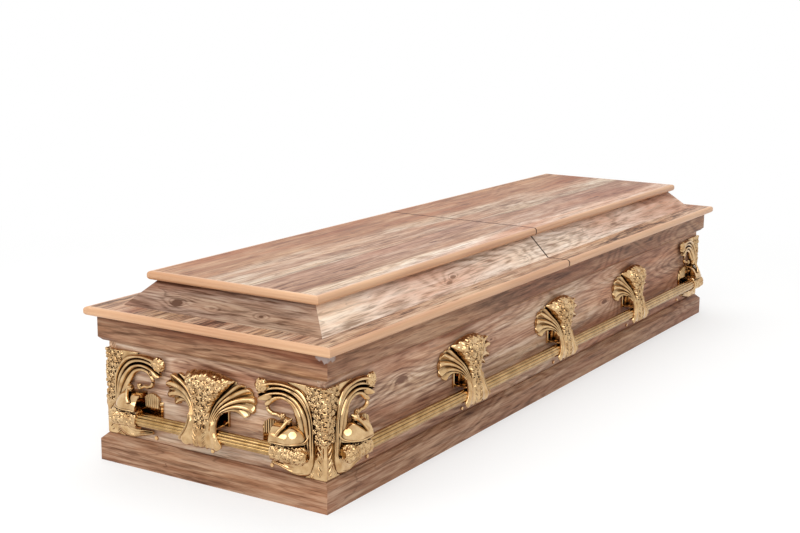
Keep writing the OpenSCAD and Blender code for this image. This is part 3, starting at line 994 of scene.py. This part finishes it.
@dataclass
class CornerCasting:
    """A corner casting: a flowered band over the corner, and on each face a scroll and a socket."""

    foot_z: float = 57.5
    top_z: float = 237.0
    proud: float = 5.0
    bar_z: float = 108.0
    bar_out: float = 26.0
    barrel: float = 14.6
    flower: float = 6.8
    seed: int = 23
    band_faces: int = 28000

    def band_half(self, z: Array) -> Array:
        """Half the band's width at a height."""
        rise = np.clip((z - self.foot_z) / (self.top_z - self.foot_z), 0, 1)
        widths = [(43.0,), (27.0,), (22.5,), (22.0,), (23.0,), (25.0,), (29.0,), (42.0,), (84.0,)]
        return run_through(widths, rise)[..., 0]

    def band(self) -> bpy.types.Object:
        """The band that straddles the corner."""
        quarter = math.pi / 4

        def flat(u: Array, v: Array) -> tuple[Array, Array]:
            """Run across the unfolded band, and height."""
            z = self.foot_z + v * (self.top_z - self.foot_z)
            return u * (self.band_half(z) + self.proud * quarter), z

        def base(u: Array, v: Array) -> tuple[Array, Array, Array]:
            """Place on the base surface: along the face, off it, and height."""
            run, z = flat(u, v)
            arc = self.proud * quarter
            past = np.maximum(np.abs(run) - arc, 0)
            turn = np.clip(run / self.proud, -quarter, quarter)
            x = -self.proud * np.cos(quarter + turn) + np.where(run > 0, past, 0)
            y = -self.proud * np.cos(quarter - turn) + np.where(run < 0, past, 0)
            return x, -y, z

        def draw(generator: np.random.Generator) -> Array:
            """Tries one place for a flower."""
            z = generator.uniform(126, self.top_z)
            half = min(self.band_half(np.array([z]))[0] + 1, 40)
            return np.array([generator.uniform(-half, half), z])

        centres = scattered(3200, 1.25 * self.flower, draw, self.seed)

        def relief(u: Array, v: Array, x: Array, z: Array) -> Array:
            """Height of the relief over the base surface."""
            run, height = flat(u, v)
            flowers = blossoms(run, height, centres, self.flower, 4.2) * smoothstep(122, 132, height)
            veins = strokes(run, height, 12.0, 66.0, 124.0, 12.5, 2.6)
            stem = 1.4 * bump(run, 0.0, 6.0) * (1 - smoothstep(118, 128, height))
            frill = strokes(run, height, 30.0, 60.0, 72.0, 6.0, 1.5)
            return flowers + veins + stem + frill

        shell = Sheet("band", 190, 300, base, relief, self.proud - 0.3, 2.2).build()
        apply_modifier(shell, "DECIMATE", ratio=self.band_faces / (4 * 190 * 300))
        return shell

    def barrel_shell(self) -> bpy.types.Object:
        """The flowered barrel round the bar's end, open towards the bar."""
        first, mouth = 22.0, 100.0
        spread = math.radians(128)

        def base(u: Array, v: Array) -> tuple[Array, Array, Array]:
            """Place on the base surface: along the face, off it, and height."""
            angle = -u * spread
            along = mouth + (first - mouth) * v
            swell = self.barrel * (1 - 0.5 * smoothstep(0.72, 1.0, v) ** 2)
            return along, self.bar_out + swell * np.cos(angle), self.bar_z - 1 - 1.15 * swell * np.sin(angle)

        def draw(generator: np.random.Generator) -> Array:
            """Tries one place for a flower."""
            along = generator.uniform(first + 3, mouth - 4)
            return np.array([along, generator.uniform(-2.2, 2.2) * self.barrel])

        centres = scattered(2600, 1.3 * self.flower, draw, self.seed + 1)

        def relief(u: Array, v: Array, x: Array, z: Array) -> Array:
            """Height of the relief over the base surface."""
            arc = -u * spread * self.barrel
            return blossoms(x, arc, centres, self.flower, 3.0) + 1.2 * smoothstep(mouth - 5, mouth - 3, x)

        shell = Sheet("barrel", 110, 90, base, relief, 2.6, 1.2).build()
        apply_modifier(shell, "DECIMATE", ratio=0.3)
        return shell

    def hood(self) -> bpy.types.Object:
        """The polished dome over the socket: round towards the corner, straight and open towards the bar."""
        let_go()
        bpy.ops.mesh.primitive_uv_sphere_add(segments=64, ring_count=32, radius=34 * MM,
                                             location=(66 * MM, -8 * MM, 127 * MM))
        dome = bpy.context.object
        dome.name = "hood"
        bpy.ops.object.transform_apply(location=True, rotation=True, scale=True)
        for corner in dome.data.vertices:
            if corner.co.x > 66.1 * MM:
                corner.co.x += 30 * MM
        bpy.ops.object.mode_set(mode="EDIT")
        for plane, normal in (((0, 0, 127 * MM), (0, 0, -1)), ((0, -0.3 * MM, 0), (0, 1, 0)),
                              ((100 * MM, 0, 0), (1, 0, 0))):
            bpy.ops.mesh.select_all(action="SELECT")
            bpy.ops.mesh.bisect(plane_co=plane, plane_no=normal, use_fill=True, clear_outer=True)
        bpy.ops.mesh.inset(thickness=2.2 * MM)
        bpy.ops.mesh.extrude_region_move(TRANSFORM_OT_translate={"value": (-24 * MM, 0, 0)})
        bpy.ops.object.mode_set(mode="OBJECT")
        return dome

    def scroll(self) -> bpy.types.Object:
        """The C-shaped scroll: one fluted sheet from under the socket, up the band and out over the hood."""
        outer = [(119, 74), (92, 66), (60, 59), (33, 64), (22, 88), (21, 118), (21, 150),
                 (24, 182), (33, 208), (52, 227), (84, 235), (114, 235), (136, 230)]
        middle = [(118, 77), (95, 74), (66, 68), (44, 78), (32, 98), (31, 122), (31, 150),
                  (36, 177), (49, 198), (67, 212), (92, 218), (122, 213), (146, 201)]
        inner = [(116, 81), (97, 80), (76, 79), (58, 88), (46, 108), (44, 130), (50, 150),
                 (60, 167), (68, 184), (77, 195), (92, 200), (108, 196), (123, 183)]

        def base(u: Array, v: Array) -> tuple[Array, Array, Array]:
            """Place on the base surface: along the face, off it, and height."""
            t = u[..., None]
            place = (run_through(outer, v) * t * (t - 1) / 2 + run_through(middle, v) * (1 - t * t)
                     + run_through(inner, v) * t * (t + 1) / 2)
            notch = (1 - np.abs(np.cos(np.pi * u))) ** 1.4 * smoothstep(0.86, 1.0, v) ** 1.3
            low = 1 - smoothstep(0.45, 0.7, v)
            w = 6.0 + 9.0 * ((1 + u) / 2) ** 1.3 * low * smoothstep(0.05, 0.3, v)
            w = w + 5.0 * smoothstep(0.82, 1.0, v) ** 2 * (1 - 0.6 * notch)
            return place[..., 0] - 20.0 * notch, w, place[..., 1] + 4.0 * notch

        def relief(u: Array, v: Array, x: Array, z: Array) -> Array:
            """Height of the relief over the base surface."""
            fold = (1 + u) * 2
            across = fold - np.floor(fold) - 0.5
            share = np.where(np.floor(fold) % 2 == 0, 1.0, 0.62)
            tall = 0.8 + 5.0 * smoothstep(0.34, 0.62, v) + 1.6 * smoothstep(0.7, 0.9, v)
            crest = np.clip(np.cos(np.pi * across), 0, 1) ** 0.8
            deep = 2.2 * bump(u, 0.0, 0.16) * smoothstep(0.55, 0.8, v)
            smooth = 3.2 * bump(u, -0.3, 0.75) * (1 - smoothstep(0.35, 0.55, v))
            return tall * share * crest + smooth - deep

        sheet = Sheet("scroll", 112, 250, base, relief, 3.0, 1.8).build()
        apply_modifier(sheet, "DECIMATE", ratio=0.19)
        return sheet

    def ornaments(self) -> list[bpy.types.Object]:
        """The rosettes at the rib ends, the dome's rim, and the hook leaf on it."""
        parts = []
        for name, centre, radius, out in (("rosette", (138, 222), 16.0, 16), ("bud", (71, 166), 7, 26),
                                          ("curl_bud", (88, 170), 6, 14)):
            petal = 0.62 * radius
            spots = np.array([centre] + [(centre[0] + petal * math.cos(a), centre[1] + petal * math.sin(a))
                                         for a in np.arange(6) * math.tau / 6])

            def base(u: Array, v: Array, c: tuple[int, int] = centre, r: float = radius,
                     o: float = out) -> tuple[Array, Array, Array]:
                """Place on the base surface: along the face, off it, and height."""
                a, b = u, 2 * v - 1
                x, z = a * np.sqrt(1 - b * b / 2), b * np.sqrt(1 - a * a / 2)
                return c[0] + r * x, o * np.sqrt(np.clip(1.02 - 0.75 * (x * x + z * z), 0, 1)), c[1] + r * z

            def relief(u: Array, v: Array, x: Array, z: Array, s: Array = spots,
                       r: float = radius) -> Array:
                """Height of the relief over the base surface."""
                return blossoms(x, z, s, 0.45 * r, 2.6)

            knob = Sheet(name, 40, 40, base, relief, 3.0, 1.5).build()
            apply_modifier(knob, "DECIMATE", ratio=0.35)
            parts.append(knob)
        parts.append(ribbon("hook", [(64, 172, 14), (70, 165, 26), (76, 154, 36), (84, 142, 41)],
                            [2.4, 3.4, 3.2, 4.6], [2, 3, 3, 3.5], cells=(12, 40)))
        parts.append(ribbon("inner_curl",
                            [(124, 184, 11), (121, 177, 11), (112, 172, 10), (102, 172, 10), (92, 168, 10)],
                            [3.4, 4.2, 4.2, 3.6, 3.0], [4, 4.5, 4.5, 4, 4], cells=(12, 50), fullness=0.6))
        parts.append(ribbon("hood_rim", [(100, 128, 41), (84, 128, 43), (64, 128, 42), (46, 129, 36),
                                         (33, 132, 20), (31, 144, 9), (40, 158, 8)],
                            [1.8] * 7, [1.6] * 7, cells=(8, 70)))
        parts.append(self.lug())
        return parts

    def lug(self) -> bpy.types.Object:
        """The reeded lug on the panel beside the socket's mouth."""
        def base(u: Array, v: Array) -> tuple[Array, Array, Array]:
            """Place on the base surface: along the face, off it, and height."""
            return 117 + 19 * u, 5.0 + 0 * u, 128 + v * (32 - 9 * u * u)

        def relief(u: Array, v: Array, x: Array, z: Array) -> Array:
            """Height of the relief over the base surface."""
            return 3.2 * np.sqrt(np.abs(np.cos(np.pi * x / 5.4)))

        lug = Sheet("lug", 56, 24, base, relief, 4.0, 1.6).build()
        apply_modifier(lug, "DECIMATE", ratio=0.5)
        return lug

    def back_plate(self) -> bpy.types.Object:
        """The wedge-shaped plate on the panel behind the bar."""
        def base(u: Array, v: Array) -> tuple[Array, Array, Array]:
            """Place on the base surface: along the face, off it, and height."""
            x = 20 + 61 * (u + 1)
            low, high = 82 + 0.18 * (x - 20), 144 + 0 * x
            return x, 4.0 + 0 * x, low + v * (high - low)

        def relief(u: Array, v: Array, x: Array, z: Array) -> Array:
            """Height of the relief over the base surface."""
            return 2.0 * bump(z, 138.0, 5.0) + 1.5 * bump(x, 139.0, 3.5)

        return Sheet("back_plate", 30, 20, base, relief, 3.6, 1.6).build()

    def model(self) -> bpy.types.Object:
        """Models the casting of the corner whose body lies towards +X and +Y of the origin."""
        wing = joined("wing", [self.barrel_shell(), self.hood(), self.scroll(), *self.ornaments(),
                               self.back_plate()])
        swap = Matrix(((0, 1, 0, 0), (1, 0, 0, 0), (0, 0, 1, 0), (0, 0, 0, 1)))
        other = copied(wing, "wing_other", swap)
        casting = joined("corner_casting", [self.band(), wing, other])
        smooth_by_angle(casting, 50)
        return casting


@dataclass
class Castings:
    """All brackets and corner castings, in place of their plain solids."""

    sides: Sides = field(default_factory=Sides)
    gilt: Gilt = Gilt("gold_plated_abs", "#DDBB8C", "#BB9364", 0.09)

    def build(self) -> None:
        """Models one bracket and one corner, and copies them to their places."""
        material = self.gilt.material()
        bracket = FanBracket().model()
        dress(bracket, material)
        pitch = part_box("bracket_front_3")[1].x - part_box("bracket_front_2")[1].x
        places = {f"bracket_{side}_{number + 1}": self.sides.at(side, (number - 1) * pitch)
                  for side in ("front", "back") for number in range(3)}
        places["bracket_left"] = self.sides.at("left", 0.0)
        places["bracket_right"] = self.sides.at("right", 0.0)
        for node, place in places.items():
            self.put(bracket, node, place)
        bpy.data.objects.remove(bracket)
        corner = CornerCasting().model()
        dress(corner, material)
        for side, across in (("front", 1), ("back", -1)):
            for end, along in (("left", 1), ("right", -1)):
                place = Matrix.Diagonal((along, across, 1, 1)) @ Matrix.Translation(
                    (-self.sides.half_length, -self.sides.half_width, 0))
                self.put(corner, f"corner_{side}_{end}", place)
        bpy.data.objects.remove(corner)

    def put(self, model: bpy.types.Object, node: str, place: Matrix) -> None:
        """Copies a model to a place, to stand for a node's plain solid."""
        piece = copied(model, f"gilt_{node}", place)
        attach(piece, "root")
        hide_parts(node)
        log.info("%s: %d faces", piece.name, len(piece.data.polygons))


@dataclass
class Bars:
    """The reeded bars, drawn tube with a lacquered brass finish."""

    brass: Gilt = Gilt("lacquered_brass_tube", "#C4A06C", "#A27E4C", 0.17, 0.04)

    def dress(self) -> None:
        """Dresses the four bars."""
        material = self.brass.material()
        for side in ("front", "back", "left", "right"):
            dress(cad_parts[f"bar_{side}"], material)
        log.info("bars: dressed")


@dataclass
class Screws:
    """Small gilt screws with a ring-shaped head, below the brackets and beside the corners."""

    sides: Sides = field(default_factory=Sides)
    radius: float = 4.2
    depth: float = 3.0
    height: float = 66.0
    gilt: Gilt = Gilt("gold_plated_steel", "#E6C08A", "#C9996A", 0.14)

    def model(self) -> bpy.types.Object:
        """Models one screw head that faces -Y at the origin."""
        let_go()
        bpy.ops.mesh.primitive_cylinder_add(vertices=20, radius=self.radius * MM, depth=self.depth * MM,
                                            location=(0, -self.depth / 2 * MM, 0),
                                            rotation=(math.pi / 2, 0, 0))
        head = bpy.context.object
        bpy.ops.object.transform_apply(location=True, rotation=True, scale=True)
        for face in head.data.polygons:
            face.select = face.normal.y < -0.9
        bpy.ops.object.mode_set(mode="EDIT")
        bpy.ops.mesh.select_mode(type="FACE")
        bpy.ops.mesh.inset(thickness=1.5 * MM)
        bpy.ops.mesh.extrude_region_move(TRANSFORM_OT_translate={"value": (0, 1.2 * MM, 0)})
        bpy.ops.mesh.inset(thickness=0.7 * MM)
        bpy.ops.object.mode_set(mode="OBJECT")
        apply_modifier(head, "BEVEL", width=0.8 * MM, segments=3, limit_method="ANGLE")
        smooth_by_angle(head, 60)
        return head

    def build(self) -> None:
        """Copies the screw to its sixteen places."""
        material = self.gilt.material()
        head = self.model()
        dress(head, material)
        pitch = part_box("bracket_front_3")[1].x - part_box("bracket_front_2")[1].x
        long_ends = self.sides.half_length - 140 * MM
        short_ends = self.sides.half_width - 121 * MM
        rows = {"front": (-long_ends, -pitch, 0.0, pitch, long_ends),
                "back": (-long_ends, -pitch, 0.0, pitch, long_ends),
                "left": (-short_ends, 0.0, short_ends), "right": (-short_ends, 0.0, short_ends)}
        for side, row in rows.items():
            for number, along in enumerate(row):
                place = self.sides.at(side, along) @ Matrix.Translation((0, 0, self.height * MM))
                screw = copied(head, f"screw_{side}_{number + 1}", place)
                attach(screw, "root")
        bpy.data.objects.remove(head)
        log.info("screws: placed")


# ------------------------------------------------------------------ floor, light and camera


@dataclass
class Studio:
    """A pale floor, soft light at a plain level, and the camera."""

    eye: tuple[float, float, float] = (-2.9829, -1.6688, 0.9634)
    turn: float = -1.0175
    tilt: float = 1.3704
    roll: float = 0.0111
    lens: float = 62.9

    def build(self) -> None:
        """Makes the floor, world, lamps and camera."""
        self.floor()
        self.world()
        self.lamps()
        self.camera()
        view = bpy.context.scene.view_settings
        view.view_transform = "Standard"

    def floor(self) -> None:
        """A wide white floor that keeps the object's shadow."""
        let_go()
        bpy.ops.mesh.primitive_plane_add(size=60, location=(0, 0, 0))
        ground = bpy.context.object
        ground.name = "studio_floor"
        material, tree, shader = new_material("matt_white_paper")
        here = add(tree, "ShaderNodeTexCoord").outputs["Object"]
        tooth = add(tree, "ShaderNodeTexNoise", {"Vector": here, "Scale": 300.0, "Detail": 1.0})
        ramp = add(tree, "ShaderNodeValToRGB", {"Fac": tooth.outputs[0]})
        fill_ramp(ramp, [(0.0, linear("#F6F6F5")), (1.0, linear("#FBFBFA"))])
        tree.links.new(ramp.outputs[0], shader.inputs["Base Color"])
        shader.inputs["Roughness"].default_value = 0.9
        shader.inputs["Specular IOR Level"].default_value = 0.1
        glow = add(tree, "ShaderNodeEmission", {"Color": (1, 1, 1, 1), "Strength": 1.0})
        away = add(tree, "ShaderNodeVectorMath", {0: here}, operation="LENGTH")
        glare = add(tree, "ShaderNodeMapRange",
                    {"Value": away.outputs["Value"], 1: 1.2, 2: 2.6, 3: 0.55, 4: 1.0},
                    interpolation_type="SMOOTHSTEP")
        seen = add(tree, "ShaderNodeMath", {0: self.shown(tree), 1: glare.outputs[0]}, operation="MULTIPLY")
        mix = add(tree, "ShaderNodeMixShader", {0: seen.outputs[0], 1: shader.outputs[0], 2: glow.outputs[0]})
        output = next(n for n in tree.nodes if n.type == "OUTPUT_MATERIAL")
        tree.links.new(mix.outputs[0], output.inputs["Surface"])
        dress(ground, material)

    @staticmethod
    def shown(tree: bpy.types.NodeTree) -> Socket:
        """Where the background is seen: straight on, in metal's mirror and through anything clear.

        Args:
            tree: The node tree.

        Returns:
            1 for camera, glossy and transmission rays, otherwise 0.
        """
        rays = add(tree, "ShaderNodeLightPath").outputs
        straight = add(tree, "ShaderNodeMath", {0: rays["Is Camera Ray"], 1: rays["Is Glossy Ray"]},
                       operation="MAXIMUM")
        return add(tree, "ShaderNodeMath", {0: straight.outputs[0], 1: rays["Is Transmission Ray"]},
                   operation="MAXIMUM").outputs[0]

    def world(self) -> None:
        """A white background, and a soft sky that lights the object."""
        world = bpy.data.worlds.new("studio")
        bpy.context.scene.world = world
        world.use_nodes = True
        tree = world.node_tree
        tree.nodes.clear()
        way = add(tree, "ShaderNodeTexCoord").outputs["Generated"]
        height = add(tree, "ShaderNodeSeparateXYZ", {0: way}).outputs["Z"]
        up = add(tree, "ShaderNodeMapRange", {"Value": height, 1: -1.0, 2: 1.0})
        soft = add(tree, "ShaderNodeValToRGB", {"Fac": up.outputs[0]})
        fill_ramp(soft, [(0.0, (0.5, 0.5, 0.5, 1)), (0.5, (0.42, 0.42, 0.42, 1)), (1.0, (0.8, 0.8, 0.8, 1))])
        final = add(tree, "ShaderNodeMix", {0: self.shown(tree), 6: soft.outputs[0], 7: (1, 1, 1, 1)},
                    data_type="RGBA")
        back = add(tree, "ShaderNodeBackground", {"Color": final.outputs[2], "Strength": 1.0})
        add(tree, "ShaderNodeOutputWorld", {"Surface": back.outputs[0]})

    def lamps(self) -> None:
        """Three broad softboxes: overhead in front, overhead behind, and a weak one at the far end."""
        for name, place, size, power in (("key", (-3.2, -1.3, 3.2), (3.4, 3.4), 76.0),
                                         ("top", (0.8, 0.6, 3.4), (3.6, 2.4), 46.0),
                                         ("fill", (-3.4, 1.4, 1.6), (1.4, 1.4), 14.0)):
            let_go()
            bpy.ops.object.light_add(type="AREA", location=place)
            lamp = bpy.context.object
            lamp.name = name
            lamp.data.shape = "ELLIPSE"
            lamp.data.size, lamp.data.size_y = size
            lamp.data.energy = power
            aim = Vector((0, 0, 0.2)) - Vector(place)
            lamp.rotation_euler = aim.to_track_quat("-Z", "Y").to_euler()

    def camera(self) -> None:
        """The camera, low over the near corner."""
        data = bpy.data.cameras.new("camera")
        data.lens = self.lens
        data.sensor_width = 36.0
        data.sensor_fit = "HORIZONTAL"
        camera = bpy.data.objects.new("camera", data)
        bpy.context.scene.collection.objects.link(camera)
        turn = Matrix.Rotation(self.turn, 4, "Z") @ Matrix.Rotation(self.tilt, 4, "X")
        camera.matrix_world = Matrix.Translation(self.eye) @ turn @ Matrix.Rotation(self.roll, 4, "Z")
        bpy.context.scene.camera = camera


def main() -> None:
    """Sets the studio, then builds and dresses the coffin, board by board and casting by casting."""
    Studio().build()
    Box().dress()
    Lid().dress()
    Bars().dress()
    Castings().build()
    Screws().build()


if __name__ == "__main__":
    main()
